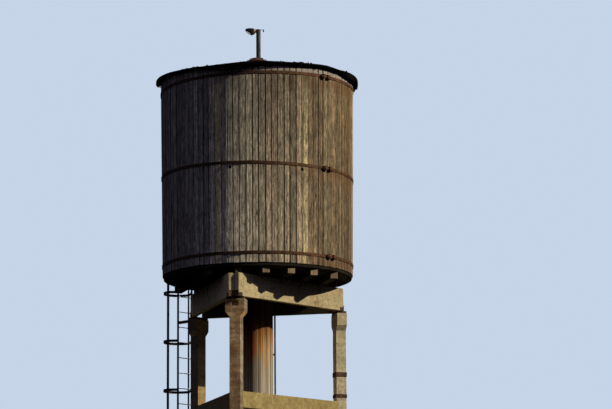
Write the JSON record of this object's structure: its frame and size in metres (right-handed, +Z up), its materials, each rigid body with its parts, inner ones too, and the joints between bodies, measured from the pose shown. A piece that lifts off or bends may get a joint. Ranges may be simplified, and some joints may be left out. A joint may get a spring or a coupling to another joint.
{
  "type": "water tower",
  "caption": "Round timber-boarded water tank with steel hoops and a low felt cone roof, on a triangular concrete frame with a boarded riser and a caged ladder.",
  "frame": {"origin": "on the ground at the tank's axis, in the middle of the riser's foot", "axes": "+Z up; the front column stands towards -Y, the right column at 30 degrees and the left column, with the ladder outside it, at 150 degrees from +X"},
  "size_m": [4.1426, 3.9246, 13.8998],
  "materials": {
    "concrete": "weathered precast concrete, pitted and streaked",
    "bearing_steel": "rusted steel plate",
    "joist_timber": "sawn softwood, weathered",
    "deck_timber": "sawn softwood boards, dark",
    "board_timber": "vertical softwood boards, weathered grey-brown",
    "hoop_steel": "flat steel hoops, partly rusted",
    "roof_felt": "black roofing felt",
    "cap_sheet": "low sheet flashing, red-brown",
    "post_steel": "grey steel tube, weathered",
    "lamp_housing": "dark painted casting",
    "lamp_lens": "pale diffusing lens",
    "casing_timber": "narrow vertical boards, bleached, orange-stained near the top",
    "pipe_steel": "thin dark pipe",
    "ladder_steel": "dark painted flat bar"
  },
  "bodies": {
    "root": {"column_front": "concrete", "column_right": "concrete", "column_left": "concrete", "bearing_plate_front": "bearing_steel", "bearing_plate_right": "bearing_steel", "bearing_plate_left": "bearing_steel", "collar_upper": "bearing_steel", "collar_lower": "bearing_steel", "top_beam_front_right": "concrete", "top_beam_front_left": "concrete", "top_beam_back": "concrete", "ring_beam_upper_front_right": "concrete", "ring_beam_upper_front_left": "concrete", "ring_beam_upper_back": "concrete", "ring_beam_lower_front_right": "concrete", "ring_beam_lower_front_left": "concrete", "ring_beam_lower_back": "concrete", "joist_1": "joist_timber", "joist_2": "joist_timber", "joist_3": "joist_timber", "joist_4": "joist_timber", "joist_5": "joist_timber", "joist_6": "joist_timber", "tank_deck": "deck_timber", "tank_wall_1": "board_timber", "tank_wall_2": "board_timber", "tank_wall_3": "board_timber", "tank_wall_4": "board_timber", "tank_wall_5": "board_timber", "tank_wall_6": "board_timber", "hoop_lower": "hoop_steel", "hoop_middle": "hoop_steel", "hoop_upper": "hoop_steel", "roof_cone": "roof_felt", "felt_skirt": "roof_felt", "apex_cap": "cap_sheet", "lamp_post": "post_steel", "lamp_head": "lamp_housing", "lamp_lens": "lamp_lens", "riser": "casing_timber", "overflow_pipe": "pipe_steel", "ladder": "ladder_steel", "cage_back": "ladder_steel", "cage_side_1": "ladder_steel", "cage_side_2": "ladder_steel", "bracket_low": "ladder_steel", "bracket_head": "ladder_steel", "bracket_wall": "ladder_steel", "bracket_eave": "ladder_steel"}
  },
  "joints": []
}
